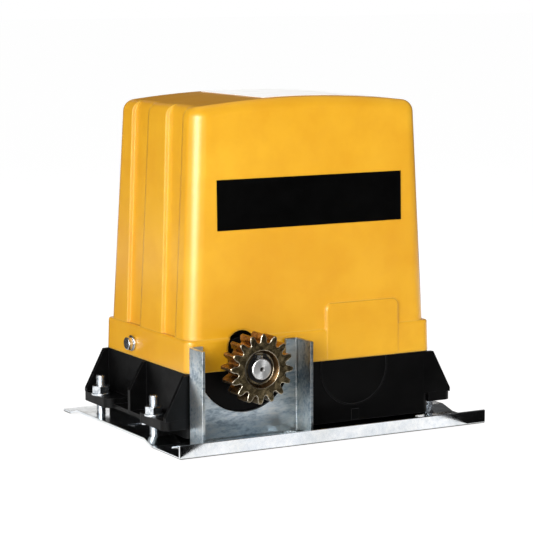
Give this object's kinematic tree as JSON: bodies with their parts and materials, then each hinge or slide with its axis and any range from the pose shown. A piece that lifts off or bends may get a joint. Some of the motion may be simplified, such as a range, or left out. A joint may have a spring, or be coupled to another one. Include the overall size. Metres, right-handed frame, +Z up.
{
  "type": "sliding gate motor",
  "caption": "Sliding gate drive: lift-off moulded cover on a black housing, worm gearbox turning a toothed pinion in a steel guard, on a folded foundation plate.",
  "frame": {"origin": "on the floor, under the middle of the foundation plate", "axes": "+X along the gate's travel to the right as seen from the pinion side, -Y towards the gate and its rack, +Z up"},
  "size_m": [0.363, 0.283, 0.3501],
  "materials": {
    "zinc_sheet": "galvanised, mottled",
    "zinc_hardware": "bright zinc",
    "black_base": "satin moulding",
    "black_parts": "matt moulding",
    "yellow_cover": "satin, golden yellow",
    "label_black": "printed film",
    "label_white": "paper label",
    "gear_passivated": "yellow passivated",
    "ground_steel": "turned and ground",
    "bronze": "cut bronze",
    "cast_alloy": "die cast",
    "motor_paint": "satin",
    "ferrite": "sintered",
    "copper": "enamelled wire",
    "seal_rubber": "moulded",
    "battery_case": "moulded",
    "board_green": "solder mask",
    "grey_parts": "moulded",
    "lamination": "stacked sheet"
  },
  "bodies": {
    "base": {"foundation_plate": "zinc_sheet", "pinion_guard": "zinc_sheet", "guard_screws": "zinc_hardware", "mounting_studs": "zinc_hardware", "fixing_nuts": "zinc_hardware", "fixing_washers": "zinc_hardware", "base_housing": "black_base", "gearbox_lid": "cast_alloy", "lid_screws": "zinc_hardware", "shaft_seal": "seal_rubber", "front_bearing": "ground_steel", "rear_bearing": "ground_steel", "lower_worm_bearing": "ground_steel", "upper_worm_bearing": "ground_steel", "motor_can": "motor_paint", "motor_magnets": "ferrite", "end_cap": "black_parts", "brush_holders": "black_parts", "sensor_board": "board_green", "battery": "battery_case", "battery_strap": "zinc_sheet", "transformer": "lamination", "board_carrier": "black_parts", "control_board": "board_green", "board_screws": "zinc_hardware", "relays": "grey_parts", "capacitors": "motor_paint", "terminal_blocks": "grey_parts", "heat_sink": "cast_alloy", "cable_gland": "black_parts"},
    "output": {"pinion": "gear_passivated", "output_shaft": "ground_steel", "pinion_key": "ground_steel", "wheel_key": "ground_steel", "retaining_ring": "ground_steel", "worm_wheel": "bronze"},
    "motor": {"worm_shaft": "ground_steel", "armature_stack": "lamination", "armature_winding": "copper", "commutator": "copper", "encoder_disc": "black_parts"},
    "cover": {"cover_shell": "yellow_cover", "cover_screws": "zinc_hardware", "cover_washers": "zinc_hardware", "cover_nuts": "zinc_hardware", "front_label": "label_black", "top_label": "label_white"}
  },
  "joints": [
    {"name": "pinion_spin", "type": "hinge", "parent": "base", "child": "output", "pos_m": [-0.0835, -0.1, 0.0804], "axis": [0, 1, 0], "continuous": true},
    {"name": "motor_spin", "type": "hinge", "parent": "base", "child": "motor", "pos_m": [-0.0335, -0.042, 0.15], "axis": [0, 0, 1], "continuous": true},
    {"name": "cover_lift", "type": "slide", "parent": "base", "child": "cover", "axis": [0, 0, 1], "range_m": [0, 0.26]}
  ],
  "couplings": [
    {"joint": "motor_spin", "follows": "pinion_spin", "ratio": 30}
  ]
}
